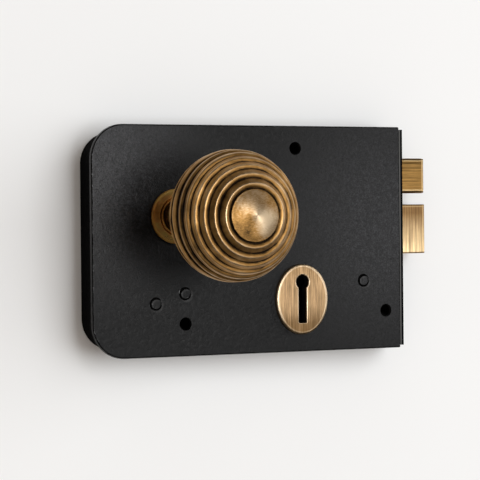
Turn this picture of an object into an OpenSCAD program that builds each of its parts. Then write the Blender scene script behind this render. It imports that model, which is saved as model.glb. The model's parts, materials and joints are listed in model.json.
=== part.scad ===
// Rim lock for the inside face of a door: a flat sheet-steel case with a forend, a latch bolt that a
// beehive knob draws back through a follower, and a key-operated dead bolt held by two levers.
//
// Frame, in millimetres: the origin is on the spindle's axis, in the plane of the door's face.
// +X runs towards the forend and the bolts, +Z is up, and the room is on the -Y side.

/* [Case] */
// Width of the cover plate
plate_w = 151.5; // [148:0.5:158]
// Height of the cover plate
plate_h = 100; // [98:0.5:108]
// Thickness of the cover plate
plate_t = 2; // [1.6:0.1:2.4]
// Radius of the cover plate's two left corners
corner_r = 15; // [10:0.5:18]
// Radius of the cover plate's two right corners
small_corner_r = 1; // [0.6:0.1:2]
// Rounding of the cover plate's front edge
plate_edge_r = 0.8; // [0.4:0.1:1.2]
// Depth of the whole case, from the door's face to the cover plate's front
case_d = 15; // [15:0.1:17]
// How far the cover plate overhangs the band at the left
overhang = 1.2; // [0.8:0.1:1.8]
// How far the cover plate overhangs the band at its top and bottom
overhang_z = 3.2; // [2:0.1:3.4]
// Thickness of the band that makes the side walls
band_t = 1.6; // [1.2:0.1:2]
// Thickness of the back plate
back_t = 1.5; // [1.2:0.1:1.8]
// Thickness of the forend
forend_t = 1.7; // [1.5:0.1:2.2]
// How far the forend's front edge lies behind the cover plate's front
forend_setback = 0.3; // [0.1:0.1:0.6]
// Length of the forend's two fixing lugs
lug_len = 12; // [10:0.5:14]
// Thickness of the forend's fixing lugs
lug_t = 1.6; // [1.4:0.1:1.8]
// Height of the forend's fixing lugs
lug_h = 7; // [6:0.5:8]
// Radius of the screws through the forend's lugs
lug_screw_r = 1.5; // [1.2:0.1:1.7]

/* [Fixings] */
// Radius of the three fixing holes through the case
fixing_r = 2.9; // [2.3:0.1:3.1]
// Wall of the sleeves round the fixing holes
sleeve_wall = 1.3; // [1:0.1:1.6]
// Top fixing hole, to the right of the spindle
top_fix_x = 58.6; // [57:0.2:60]
// Top fixing hole, below the cover plate's top edge
top_fix_inset = 10; // [9.3:0.1:10.3]
// Left fixing hole, to the right of the spindle
left_fix_x = 4.2; // [2:0.2:8]
// Left fixing hole, above the cover plate's bottom edge
left_fix_inset = 14; // [11.5:0.5:15]
// Right fixing hole, from the cover plate's right edge
right_fix_inset = 7.8; // [7.4:0.1:9]
// Right fixing hole, above the cover plate's bottom edge
right_fix_rise = 17.1; // [16.9:0.1:18.5]
// Lever pivot post, to the right of the spindle
pivot_x = 4.4; // [3:0.2:6]
// Lever pivot post, below the spindle
pivot_drop = 33.7; // [33:0.1:34.5]
// Lever spring post, to the left of the spindle
spring_post_left = 9.6; // [9:0.2:11]
// Lever spring post, below the spindle
spring_post_drop = 37.8; // [37:0.1:38.5]
// Lever stop post, to the right of the spindle
stop_x = 93.2; // [92:0.2:94]
// Lever stop post, below the spindle
stop_drop = 29.9; // [29.5:0.1:30.3]
// Radius of the posts riveted through the cover plate
post_r = 2.5; // [2.2:0.1:2.8]
// How far the riveted post ends stand proud of the cover plate
post_proud = 0.4; // [0.2:0.1:0.6]

/* [Spindle and knob] */
// Spindle axis, from the cover plate's left edge
spindle_from_left = 39.2; // [39:0.2:41]
// Spindle axis, from the cover plate's bottom edge
spindle_from_bottom = 60.5; // [60:0.5:63]
// Width of the square spindle across its flats
spindle_af = 8; // [7:0.1:8.2]
// Radius of the knob's neck where it turns in the rose
neck_r = 7.2; // [7:0.1:7.6]
// Radius of the rose
rose_r = 11.8; // [11:0.1:13]
// Height of the rose
rose_h = 3.4; // [2.8:0.1:4]
// Knob radius in the grooves, at its widest
knob_r = 26.2; // [25:0.1:28]
// Knob centre of its front half, from the cover plate's front
knob_mid = 56.6; // [54:0.1:60]
// Length of the straight band at the knob's widest
knob_band = 2; // [1:0.5:4]
// Depth of the knob's front half
knob_front = 19.3; // [18:0.1:21]
// Depth of the knob's rear half, as a full half-oval
knob_rear = 19; // [18:0.5:22]
// Height of the reeds above the grooves
reed_h = 0.9; // [0.6:0.1:1.1]
// Number of reeds
reeds = 12; // [11:1:12]
// Angle that one reed covers on the oval
reed_step = 10.3; // [10:0.05:10.4]
// Angle on the oval at which the first reed starts, from the knob's axis
first_reed = 25.1; // [24.6:0.1:25.6]
// Radius of the domed button at the knob's front
button_r = 10.6; // [9.8:0.1:10.7]
// Height of the button's rim over the front half's oval
button_step = 0.9; // [0.6:0.1:1.4]
// Rise of the button's dome over its rim
button_dome = 2; // [1.2:0.1:2.6]

/* [Latch] */
// Height of the latch bolt
latch_h = 15.9; // [15:0.1:16.4]
// Latch bolt's middle, above the spindle
latch_z = 17.45; // [17.2:0.05:17.8]
// How far both bolts stand out of the forend
bolt_throw = 13.1; // [12:0.1:13.4]
// Thickness of both bolts
bolt_t = 9; // [8.6:0.1:9.2]
// Distance from the spindle's axis to where a follower arm pushes the latch
arm_r = 18; // [17.6:0.1:18.4]
// Radius of an arm's rounded tip
arm_tip_r = 3.9; // [3.4:0.1:4.2]
// Radius of the follower's hub
hub_r = 10; // [9.5:0.1:10.4]
// Thickness of the steel tails behind both bolts
tail_t = 3; // [2.6:0.1:3.2]
// Radius of the rod that guides the latch spring
rod_r = 1.5; // [1.3:0.1:1.6]
// Radius of the latch spring's wire
latch_wire_r = 0.35; // [0.3:0.05:0.4]
// Turns of the latch spring
latch_turns = 14; // [12:1:16]

/* [Dead bolt and levers] */
// Height of the dead bolt
dead_h = 22.3; // [21.5:0.1:22.6]
// Dead bolt's middle, below the spindle
dead_drop = 6.75; // [6.6:0.05:7]
// Key axis, to the right of the spindle
key_x = 60.7; // [60:0.1:62]
// Key axis, below the spindle
key_drop = 29.6; // [29.4:0.1:30]
// Radius of the keyhole's round part
keyhole_r = 3.05; // [3:0.05:3.3]
// Width of the keyhole's slot
keyhole_slot_w = 3.7; // [3.2:0.1:4]
// Length of the keyhole's slot, from the key axis to its foot
keyhole_slot_len = 17.8; // [17:0.1:18.4]
// Half width of the oval escutcheon
escutcheon_a = 12.85; // [12.4:0.05:13.4]
// Half height of the oval escutcheon
escutcheon_b = 15.6; // [15.2:0.05:16]
// Escutcheon's middle, below the key axis
escutcheon_drop = 7.6; // [7:0.1:8]
// Thickness of the escutcheon
escutcheon_t = 2; // [1.6:0.1:2.6]
// Thickness of a lever
lever_t = 1.6; // [1.4:0.1:1.7]
// Space between a lever and its neighbours
lever_gap = 0.6; // [0.5:0.05:0.7]
// Angle through which the key lifts the levers
lever_lift = 4; // [3.6:0.1:4.2]
// Radius of the stump that the levers' windows hold
stump_r = 1.6; // [1.4:0.1:1.7]
// Overlap of a lever's tooth and the stump when locked
tooth_bite = 0.6; // [0.3:0.05:0.65]

/* [Clearances] */
// Radial clearance of turning and sliding round parts
run_gap = 0.1; // [0.06:0.01:0.1]
// Gap round a bolt in the forend
bolt_gap = 0.3; // [0.2:0.05:0.35]
// Gap between sheet parts, rivets and the seats that hold them
seat_gap = 0.05; // [0.03:0.01:0.06]

/* [Hidden] */
$fn = 96;
cut = 0.5;                                    // how far a cutting tool runs past a face

// The case's faces
x_left = -spindle_from_left;
x_right = plate_w - spindle_from_left;
x_out = x_right + forend_t;                   // outer face of the forend
z_low = -spindle_from_bottom;
z_top = plate_h - spindle_from_bottom;
y_front = -case_d;
y_in_front = y_front + plate_t;               // inner face of the cover plate
y_in_back = -back_t;                          // inner face of the back plate
band_r = corner_r - overhang;
x_in = x_left + overhang + band_t;            // inner face of the left wall
z_in_low = z_low + overhang_z + band_t;
z_in_top = z_top - overhang_z - band_t;

// Holes shared by the two plates
sleeve_r = fixing_r + sleeve_wall;
fixings = [
    [top_fix_x, z_top - top_fix_inset],
    [left_fix_x, z_low + left_fix_inset],
    [x_right - right_fix_inset, z_low + right_fix_rise]
];
lever_pivot = [pivot_x, -pivot_drop];
lever_spring_at = [-spring_post_left, -spring_post_drop];
lever_stop = [stop_x, -stop_drop];
posts = [lever_pivot, lever_spring_at, lever_stop];
tenon_step = 1;                               // how much thinner the posts' ends in the back plate are
tenon_r = post_r - tenon_step;
key = [key_x, -key_drop];
lug_screw_x = x_right - lug_len / 2;
lug_edge = 0.6;                               // from the band's inside to a lug
lug_z = [z_in_top - lug_edge - lug_h / 2, z_in_low + lug_edge + lug_h / 2];
rose_spigot_r = 9;
rose_bore_r = neck_r + run_gap;

// Layers through the case, from front to back
plate_to_bolt = 0.6;
bolt_front = y_in_front + plate_to_bolt;
bolt_back = bolt_front + bolt_t;
tail_front = bolt_back - tail_t;
rear_lever_back = tail_front - lever_gap;
rear_lever_front = rear_lever_back - lever_t;
front_lever_back = rear_lever_front - lever_gap;
front_lever_front = front_lever_back - lever_t;
arm_back = tail_front - lever_gap;
arm_t = 3;
arm_front = arm_back - arm_t;

// Bolts and tails
bolt_tip = x_out + bolt_throw;
bolt_inside = 14;                             // length of both bolts behind the forend's outer face
bolt_inner = x_out - bolt_inside;
rebate = 12;                                  // how far a tail laps its bolt
rivet_r = 1.5;
rivet_grip = 1.5;                             // how far the rivets reach into a bolt
rivet_len = tail_t + rivet_grip;
flush_gap = 0.1;                              // both bolts draw in just below flush
travel = bolt_throw + flush_gap;
dead_z = -dead_drop;
dead_tail_inset = 0.9;
dead_tail_low = dead_z - dead_h / 2 + dead_tail_inset;
dead_tail_top = -1.5;
hub_clearance = 1.3;                          // from the drawn dead bolt's tail to the follower's hub
dead_tail_left = hub_r + travel + hub_clearance;
guide_post = [38, -9.5];
guide_post_r = 2;
stump = [76, -4];
talon_w = 8;
talon_top = -12.4;
tail_bar_h = 10;
latch_bar_low = latch_z - tail_bar_h / 2;
latch_bar_top = latch_z + tail_bar_h / 2;
arm_play = 0.1;
yoke_right = -arm_tip_r - arm_play;           // faces that the follower's arms push
yoke_lug_w = 5;
yoke_strap_w = 9;
yoke_gap = 1;                                 // from the follower's hub to the yoke
yoke_strap_r = -hub_r - yoke_gap;
yoke_left = yoke_strap_r - yoke_strap_w;
tail_to_rod = 3.2;                            // from the tails' front to the spring rod's middle
spring_y = tail_front - tail_to_rod;
spring_mean_r = 2.25;
spring_lug_x = [52, 55];
rail_x = [44, 70];
rail_gap = 0.3;
rail_h = 2.6;
rail_top = latch_bar_low - rail_gap;
rail_low = rail_top - rail_h;

// Levers
lever_eye_r = 5.5;
key_sweep_r = 17.2;                           // room that the key's bit turns in
belly_r = 15.4;
window_gap = 0.3;
stump_lift = (stump[0] - lever_pivot[0] + stump_r) * sin(lever_lift) + window_gap;
tooth_play = 2.2;
tooth_w = 2.6;
toe_h = 2.4;
toe_z = lever_stop[1] + post_r + seat_gap;

// ---------- helpers ----------

// Extrudes a shape drawn in X and Z from y0 to y1
module slab(y0, y1) translate([0, y1, 0]) rotate([90, 0, 0]) linear_extrude(y1 - y0) children();

// A round bar along Y
module bar_y(at, r, y0, y1) translate([at[0], y1, at[1]]) rotate([90, 0, 0]) cylinder(r = r, h = y1 - y0);

// A round bar along X
module bar_x(x0, x1, y, z, r) translate([x0, y, z]) rotate([0, 90, 0]) cylinder(r = r, h = x1 - x0);

// A box from one corner to the other
module block(a, b) translate(a) cube(b - a);

// A round piece about the spindle's axis: profile x is the radius, profile y the height off the cover plate
module turned() translate([0, y_front, 0]) rotate([90, 0, 0]) rotate_extrude() children();

// A rectangle whose two left corners are rounded
module case_shape(x0, x1, z0, z1, r) {
    translate([x0 + r, z0]) square([x1 - x0 - r, z1 - z0]);
    translate([x0, z0 + r]) square([x1 - x0, z1 - z0 - 2 * r]);
    for (z = [z0 + r, z1 - r]) translate([x0 + r, z]) circle(r);
}

// The waste outside a rounded edge: the edge's corner is at the origin
module edge_waste(r) difference() {
    translate([-r, -r]) square(r + cut);
    translate([-r, -r]) circle(r);
}

// The keyhole's outline, grown by g
module keyhole_shape(g = 0) translate(key) {
    circle(keyhole_r + g);
    translate([-keyhole_slot_w / 2 - g, -keyhole_slot_len - g])
        square([keyhole_slot_w + 2 * g, keyhole_slot_len + g]);
}

// ---------- case ----------

module cover_edge_waste() {
    r = plate_edge_r;
    for (side = [0, 1]) {
        z = side == 0 ? z_low + corner_r : z_top - corner_r;
        translate([x_left + corner_r, y_front, z]) rotate([90, 0, 0])
            rotate([0, 0, side == 0 ? 180 : 90]) rotate_extrude(angle = 90)
                translate([corner_r, 0]) edge_waste(r);
    }
    translate([x_left, y_front, z_low + corner_r]) rotate([0, 0, 180])
        linear_extrude(plate_h - 2 * corner_r) edge_waste(r);
    translate([x_right, y_front, z_top + cut]) rotate([180, 0, 0])
        linear_extrude(plate_h + 2 * cut) edge_waste(r);
    translate([x_left + corner_r, y_front, z_top]) rotate([180, -90, 0])
        linear_extrude(plate_w - corner_r + cut) edge_waste(r);
    translate([x_right + cut, y_front, z_low]) rotate([180, 90, 0])
        linear_extrude(plate_w - corner_r + cut) edge_waste(r);
}

module cover_plate() color([0.16, 0.16, 0.165]) difference() {
    slab(y_front, y_in_front) difference() {
        case_shape(x_left, x_right, z_low, z_top, corner_r);
        translate([x_right, z_top]) edge_waste(small_corner_r);
        translate([x_right, z_low]) rotate(-90) edge_waste(small_corner_r);
    }
    cover_edge_waste();
    bar_y([0, 0], rose_spigot_r + seat_gap, y_front - cut, y_in_front + cut);
    for (p = fixings) bar_y(p, fixing_r, y_front - cut, y_in_front + cut);
    for (p = posts) bar_y(p, post_r + seat_gap, y_front - cut, y_in_front + cut);
    slab(y_front - cut, y_in_front + cut) keyhole_shape();
}

module case_band() color([0.12, 0.12, 0.125]) slab(y_in_front, 0) difference() {
    case_shape(x_left + overhang, x_right, z_low + overhang_z, z_top - overhang_z, band_r);
    case_shape(x_in, x_right + cut, z_in_low, z_in_top, band_r - band_t);
}

module back_plate() color([0.2, 0.2, 0.205]) difference() {
    slab(y_in_back, 0)
        case_shape(x_in + seat_gap, x_right, z_in_low + seat_gap, z_in_top - seat_gap,
            band_r - band_t - seat_gap);
    bar_y([0, 0], rose_bore_r, y_in_back - cut, cut);
    for (p = fixings) bar_y(p, fixing_r, y_in_back - cut, cut);
    for (p = posts) bar_y(p, tenon_r + seat_gap, y_in_back - cut, cut);
    bar_y(guide_post, tenon_r + seat_gap, y_in_back - cut, cut);
    for (x = rail_rivet_x) bar_y([x, rail_rivet_z], rivet_r + seat_gap, y_in_back - cut, cut);
    for (z = lug_z) lug_screw(z, seat_gap, cut);
    slab(y_in_back - cut, cut) keyhole_shape();
}

module forend() color([0.14, 0.14, 0.145]) difference() {
    union() {
        block([x_right, y_front + forend_setback, z_low + overhang], [x_out, 0, z_top - overhang]);
        for (z = lug_z)
            block([x_right - lug_len, y_in_back - lug_t, z - lug_h / 2],
                [x_right + forend_t / 2, y_in_back, z + lug_h / 2]);
    }
    bolt_opening(latch_z, latch_h);
    bolt_opening(dead_z, dead_h);
    for (z = lug_z) bar_y([lug_screw_x, z], lug_screw_r + seat_gap, y_in_back - lug_t - cut, y_in_back + cut);
}

module bolt_opening(z, h)
    block([x_right - cut, bolt_front - bolt_gap, z - h / 2 - bolt_gap],
        [x_out + cut, bolt_back + bolt_gap, z + h / 2 + bolt_gap]);

// A countersunk screw through the back plate into a lug, grown by g and run past the back face by over
module lug_screw(z, g = 0, over = 0) {
    head = 1.1;                               // how far the head stands out round the shank
    bar_y([lug_screw_x, z], lug_screw_r + g, y_in_back - lug_t, over);
    translate([lug_screw_x, over, z]) rotate([90, 0, 0])
        cylinder(r1 = lug_screw_r + head + g + over, r2 = lug_screw_r + g, h = head + over);
}

module forend_screws() color([0.62, 0.62, 0.6]) for (z = lug_z) lug_screw(z);

module fixing_sleeves() color([0.55, 0.55, 0.54]) for (p = fixings) difference() {
    bar_y(p, sleeve_r, y_in_front, y_in_back);
    bar_y(p, fixing_r, y_in_front - cut, y_in_back + cut);
}

// A post from plate to plate, with a flat riveted end that stands proud of the cover plate and has a round edge
module case_post(at) color([0.15, 0.15, 0.155]) {
    bar_y(at, post_r, y_front, y_in_back);
    bar_y(at, tenon_r, y_in_back - seat_gap, 0);
    translate([at[0], y_front, at[1]]) rotate([90, 0, 0]) rotate_extrude() intersection() {
        square([post_r, post_proud]);
        union() {
            square([post_r - post_proud, post_proud]);
            translate([post_r - post_proud, 0]) circle(post_proud);
        }
    }
}

module lever_pivot_post() case_post(lever_pivot);
module lever_spring_post() case_post(lever_spring_at);
module lever_stop_post() case_post(lever_stop);

module bolt_guide_post() color([0.6, 0.6, 0.58]) {
    bar_y(guide_post, guide_post_r, tail_front - 0.3, y_in_back);
    bar_y(guide_post, tenon_r, y_in_back - seat_gap, 0);
}

// A rail under the latch's tail, with a lug that the latch spring bears on
rail_rivet_inset = 3.5;
rail_rivet_edge = 1;
rail_rivet_x = [rail_x[0] + rail_rivet_inset, rail_x[1] - rail_rivet_inset];
rail_rivet_z = rail_low - rivet_r - rail_rivet_edge;
rail_foot_t = 1.4;
rail_front = arm_front - 2;                   // front of the rail and of its spring lug
lug_top_gap = 1;
module latch_guide() color([0.66, 0.64, 0.6]) difference() {
    union() {
        block([rail_x[0], y_in_back - rail_foot_t, rail_rivet_z - rivet_r - rail_rivet_edge],
            [rail_x[1], y_in_back, rail_top]);
        block([rail_x[0], rail_front, rail_low], [rail_x[1], y_in_back, rail_top]);
        block([spring_lug_x[0], rail_front, rail_low],
            [spring_lug_x[1], arm_back, latch_bar_top - lug_top_gap]);
    }
    bar_x(spring_lug_x[0] - cut, spring_lug_x[1] + cut, spring_y, latch_z, rod_r + run_gap);
    for (x = rail_rivet_x)
        bar_y([x, rail_rivet_z], rivet_r + seat_gap, y_in_back - rail_foot_t - cut, y_in_back + cut);
}

module latch_guide_rivets() color([0.62, 0.62, 0.6])
    for (x = rail_rivet_x) bar_y([x, rail_rivet_z], rivet_r, y_in_back - rail_foot_t, 0);

// ---------- escutcheon and rose ----------

function oval(a, b) = [for (i = [0:95]) [a * cos(i * 3.75), b * sin(i * 3.75)]];

module escutcheon_oval(g, y0, y1)
    slab(y0, y1) translate([key[0], key[1] - escutcheon_drop])
        polygon(oval(escutcheon_a - g, escutcheon_b - g));

module escutcheon() color([0.62, 0.52, 0.36]) difference() {
    bevel = 0.6;
    chamfer = 0.35;
    hull() {
        escutcheon_oval(0, y_front - escutcheon_t + bevel, y_front);
        escutcheon_oval(bevel, y_front - escutcheon_t, y_front);
    }
    slab(y_front - escutcheon_t - cut, y_front + cut) keyhole_shape();
    translate([key[0], y_front - escutcheon_t + chamfer, key[1]]) rotate([90, 0, 0])
        cylinder(r1 = keyhole_r, r2 = keyhole_r + chamfer + cut, h = chamfer + cut);
}

module rose() color([0.5, 0.4, 0.24]) difference() {
    turned() polygon(concat(
        [[0, -plate_t], [rose_spigot_r, -plate_t], [rose_spigot_r, 0], [rose_r, 0]],
        [for (t = [0:15:90]) [rose_r - 0.8 + 0.8 * cos(t), 0.7 + 0.8 * sin(t)]],
        [for (t = [0:0.1:1]) [rose_r - 1.2 + t * (rose_bore_r + 1.5 - rose_r), 1.5 + (rose_h - 1.5) * t * t]],
        [[rose_bore_r + 0.2, rose_h], [0, rose_h]]));
    bar_y([0, 0], rose_bore_r, y_front - rose_h - cut, y_in_front + cut);
}

// ---------- knob ----------

// Profile points are [radius, distance in front of the cover plate]
function knob_mid_at(psi) = psi < 90 ? knob_mid : knob_mid - knob_band;
function knob_depth(psi) = psi < 90 ? knob_front : knob_rear;
function knob_base(psi) = [knob_r * sin(psi), knob_mid_at(psi) + knob_depth(psi) * cos(psi)];
function knob_normal(psi) =
    let (n = [sin(psi) / knob_r, cos(psi) / knob_depth(psi)]) n / norm(n);
function reed_points(i) = [for (u = [0:0.125:0.875])
    let (psi = first_reed + (i + u) * reed_step)
    knob_base(psi) + knob_normal(psi) * reed_h * sqrt(sin(180 * u))];
last_reed = first_reed + reeds * reed_step;
button_z = knob_mid + knob_front * cos(asin(button_r / knob_r)) + button_step - reed_h;
button_round = 0.35;
button_groove = 2.4;                          // depth of the groove round the button
button_dome_r = (button_r * button_r + button_dome * button_dome) / (2 * button_dome);
knob_tail = 3.5;                              // from the last reed to the knob's back
knob_back = knob_base(last_reed)[1] - knob_tail;
neck_head_r = 9;
neck_tenon_r = 7;
tenon_len = 17;
tenon_gap = 0.3;
knob_foot = 0.6;                              // chamfer where the knob meets its neck

module knob() color([0.5, 0.38, 0.2]) difference() {
    turned() polygon(concat(
        [for (t = [0:0.125:1]) let (r = (button_r - button_round) * t)
            [r, button_z + button_dome - button_dome_r + sqrt(button_dome_r * button_dome_r - r * r)]],
        [[button_r, button_z - button_round], [button_r, button_z - button_groove],
            [knob_base(first_reed)[0], button_z - button_groove]],
        [for (i = [0:reeds - 1]) each reed_points(i)],
        [knob_base(last_reed), [neck_head_r + knob_foot, knob_back + knob_foot],
            [neck_head_r, knob_back], [0, knob_back]]));
    bar_y([0, 0], neck_tenon_r + seat_gap,
        y_front - knob_back - tenon_len - tenon_gap, y_front - knob_back + cut);
}

neck_inner = -1;                              // the neck starts this far inside the rose
neck_collar = 4;                              // length of its thick end in front of the rose
neck_step = 0.8;                              // how much thinner its waist is
neck_step_len = 1.5;
neck_flare = 8;                               // length over which it widens to its head
neck_head_len = 1.5;
neck_head_round = 0.4;
module knob_neck() color([0.46, 0.36, 0.2]) difference() {
    collar_top = rose_h + neck_collar;
    waist_r = neck_r - neck_step;
    turned() polygon([
        [0, neck_inner], [neck_r, neck_inner], [neck_r, collar_top], [waist_r, collar_top + neck_step_len],
        [waist_r, knob_back - neck_flare],
        [neck_head_r - neck_head_round, knob_back - 2 * neck_head_len],
        [neck_head_r, knob_back - neck_head_len],
        [neck_head_r, knob_back], [neck_tenon_r, knob_back],
        [neck_tenon_r, knob_back + tenon_len], [0, knob_back + tenon_len]]);
    spindle_bar(spindle_gap, spindle_front - spindle_end_gap, y_front - neck_inner + cut);
    translate([0, grub_y, -neck_r - cut]) cylinder(r = grub_r + seat_gap, h = neck_r + cut);
}

// A square bar along Y, grown by g on each face
spindle_gap = 0.1;
module spindle_bar(g, y0, y1)
    block([-spindle_af / 2 - g, y0, -spindle_af / 2 - g], [spindle_af / 2 + g, y1, spindle_af / 2 + g]);

spindle_end = 3;                              // metal in the tenon beyond the spindle
spindle_end_gap = 1;
spindle_front = y_front - knob_back - tenon_len + spindle_end;
spindle_back = -1;                            // the spindle ends this far short of the door's face
module spindle() color([0.6, 0.6, 0.58]) spindle_bar(0, spindle_front, spindle_back);

grub_from_rose = 9;
grub_y = y_front - rose_h - grub_from_rose;
grub_r = 2;
grub_sunk = 1;
socket_r = 1.1;
socket_depth = 1.5;
module knob_grub_screw() color([0.3, 0.3, 0.3]) translate([0, grub_y, -neck_r + grub_sunk]) difference() {
    cylinder(r = grub_r, h = neck_r - grub_sunk - spindle_af / 2);
    translate([0, 0, -cut]) cylinder(r = socket_r, h = socket_depth + cut, $fn = 6);
}

hub_gap = 0.5;                                // from the hub to each plate
neck_gap = 0.2;                               // from the follower's front journal to the knob's neck
door_gap = 0.3;                               // from its rear journal to the door
module follower() color([0.7, 0.6, 0.36]) difference() {
    union() {
        bar_y([0, 0], hub_r, y_in_front + hub_gap, y_in_back - hub_gap);
        bar_y([0, 0], neck_r, y_front - neck_inner + neck_gap, -door_gap);
        slab(arm_front, arm_back) for (s = [-1, 1]) {
            translate([-arm_tip_r, s > 0 ? 0 : -arm_r]) square([2 * arm_tip_r, arm_r]);
            translate([0, s * arm_r]) circle(arm_tip_r);
        }
    }
    spindle_bar(spindle_gap, y_front - cut, cut);
}

// ---------- latch ----------

// A bolt's head with rounded front edges and a rounded tip, before its rebate
module bolt_head(z, h, r) intersection() {
    translate([bolt_inner, 0, 0]) rotate([90, 0, 90]) linear_extrude(bolt_tip - bolt_inner)
        round_front(z - h / 2, z + h / 2, r);
    translate([0, 0, z - h / 2]) linear_extrude(h) {
        block_2d([bolt_inner, bolt_front], [bolt_tip - r, bolt_back]);
        block_2d([bolt_inner, bolt_front + r], [bolt_tip, bolt_back]);
        translate([bolt_tip - r, bolt_front + r]) circle(r);
    }
    slab(bolt_front, bolt_back) {
        block_2d([bolt_inner, z - h / 2], [bolt_tip - r, z + h / 2]);
        block_2d([bolt_inner, z - h / 2 + r], [bolt_tip, z + h / 2 - r]);
        for (s = [-1, 1]) translate([bolt_tip - r, z + s * (h / 2 - r)]) circle(r);
    }
}
module block_2d(a, b) translate(a) square(b - a);
module round_front(z0, z1, r) {
    block_2d([bolt_front + r, z0], [bolt_back, z1]);
    block_2d([bolt_front, z0 + r], [bolt_back, z1 - r]);
    for (z = [z0 + r, z1 - r]) translate([bolt_front + r, z]) circle(r);
}

// The step at a bolt's inner end that its tail lies in, with the two rivet holes
rivet_inset = 3;
rivet_x = [bolt_inner + rivet_inset, bolt_inner + rebate - rivet_inset];
rivet_end_gap = 0.1;
module bolt_rebate(z0, z1) {
    block([bolt_inner - cut, tail_front, z0 - seat_gap],
        [bolt_inner + rebate + seat_gap, bolt_back + cut, z1 + seat_gap]);
    for (x = rivet_x)
        bar_y([x, (z0 + z1) / 2], rivet_r + seat_gap, bolt_back - rivet_len - rivet_end_gap, bolt_back + cut);
}
module bolt_rivets(z0, z1)
    for (x = rivet_x) bar_y([x, (z0 + z1) / 2], rivet_r, bolt_back - rivet_len, bolt_back);
module tail_rivet_holes(z0, z1)
    for (x = rivet_x) bar_y([x, (z0 + z1) / 2], rivet_r + seat_gap, tail_front - cut, bolt_back + cut);

latch_round = 1.3;
bevel_nose = 1.6;                             // thickness left at the bevel's tip
bevel_start = 1;                              // from the forend to where the bevel starts
rod_seat = 6;                                 // depth of the rod's hole in the bolt
rod_end_gap = 0.2;
rod_end = 3;                                  // how far the rod's free end passes its lug when drawn in
module latch_bolt() color([0.72, 0.55, 0.28]) difference() {
    bolt_head(latch_z, latch_h, latch_round);
    bolt_rebate(latch_bar_low, latch_bar_top);
    // the sloping back that lets the latch ride over its keep
    translate([0, 0, latch_z - latch_h / 2 - cut]) linear_extrude(latch_h + 2 * cut)
        polygon([[bolt_tip + cut, bolt_front + bevel_nose], [bolt_tip, bolt_front + bevel_nose],
            [x_out + bevel_start, bolt_back], [x_out + bevel_start, bolt_back + cut],
            [bolt_tip + cut, bolt_back + cut]]);
    bar_x(bolt_inner - cut, bolt_inner + rod_seat, spring_y, latch_z, rod_r + seat_gap);
}

module latch_tail() color([0.62, 0.62, 0.6]) difference() {
    union() {
        slab(tail_front, bolt_back) {
            block_2d([yoke_left, latch_bar_low], [bolt_inner + rebate, latch_bar_top]);
            block_2d([yoke_left, -latch_bar_top], [yoke_strap_r, latch_bar_top]);
            block_2d([yoke_left, -latch_bar_top], [yoke_right, -latch_bar_low]);
        }
        slab(arm_front, bolt_back) for (s = [-1, 1])
            block_2d([yoke_right - yoke_lug_w, s > 0 ? latch_bar_low : -latch_bar_top],
                [yoke_right, s > 0 ? latch_bar_top : -latch_bar_low]);
    }
    tail_rivet_holes(latch_bar_low, latch_bar_top);
}
module latch_tail_rivets() color([0.6, 0.6, 0.58]) bolt_rivets(latch_bar_low, latch_bar_top);

module latch_spring_rod() color([0.66, 0.66, 0.64])
    bar_x(spring_lug_x[0] - travel - rod_end, bolt_inner + rod_seat - rod_end_gap, spring_y, latch_z, rod_r);

// A closed tube through n + 1 rings of points
module tube(points, n, sides) {
    side_faces = [for (i = [0:n - 1]) for (j = [0:sides - 1])
        [i * sides + j, i * sides + (j + 1) % sides, (i + 1) * sides + (j + 1) % sides, (i + 1) * sides + j]];
    ends = [[for (j = [sides - 1:-1:0]) j], [for (j = [0:sides - 1]) n * sides + j]];
    polyhedron(points, concat(side_faces, ends), convexity = 10);
}

// A closed tube swept along a helix about an axis parallel to X
module helix(x0, x1, y, z, mean_r, wire_r, turns, steps = 12, sides = 8) {
    n = turns * steps;
    function ring_point(i, j) =
        let (a = 360 * i / steps, b = 360 * j / sides, r = mean_r + wire_r * cos(b))
        [x0 + (x1 - x0) * i / n + wire_r * sin(b), y + r * cos(a), z + r * sin(a)];
    tube([for (i = [0:n]) for (j = [0:sides - 1]) ring_point(i, j)], n, sides);
}

module latch_spring() color([0.7, 0.7, 0.68])
    helix(spring_lug_x[1] + latch_wire_r, bolt_inner - latch_wire_r, spring_y, latch_z,
        spring_mean_r, latch_wire_r, latch_turns);

// ---------- dead bolt and levers ----------

dead_round = 0.6;
module dead_bolt() color([0.72, 0.55, 0.3]) difference() {
    bolt_head(dead_z, dead_h, dead_round);
    bolt_rebate(dead_tail_low, dead_tail_top);
}

module dead_bolt_tail() color([0.62, 0.62, 0.6]) difference() {
    slab(tail_front, bolt_back) difference() {
        block_2d([dead_tail_left, dead_tail_low], [bolt_inner + rebate, dead_tail_top]);
        // the talon that the key's bit turns in
        block_2d([key_x + travel / 2 - talon_w / 2, dead_tail_low - cut],
            [key_x + travel / 2 + talon_w / 2, talon_top]);
        // the slot that runs on the guide post
        for (x = [0, travel]) translate(guide_post + [x, 0]) circle(guide_post_r + run_gap);
        block_2d(guide_post - [0, guide_post_r + run_gap], guide_post + [travel, guide_post_r + run_gap]);
    }
    tail_rivet_holes(dead_tail_low, dead_tail_top);
    bar_y(stump, stump_r + seat_gap, tail_front - cut, bolt_back + cut);
}
module dead_bolt_rivets() color([0.6, 0.6, 0.58]) bolt_rivets(dead_tail_low, dead_tail_top);
module bolt_stump() color([0.66, 0.66, 0.64]) bar_y(stump, stump_r, front_lever_front - 0.3, bolt_back);

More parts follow.
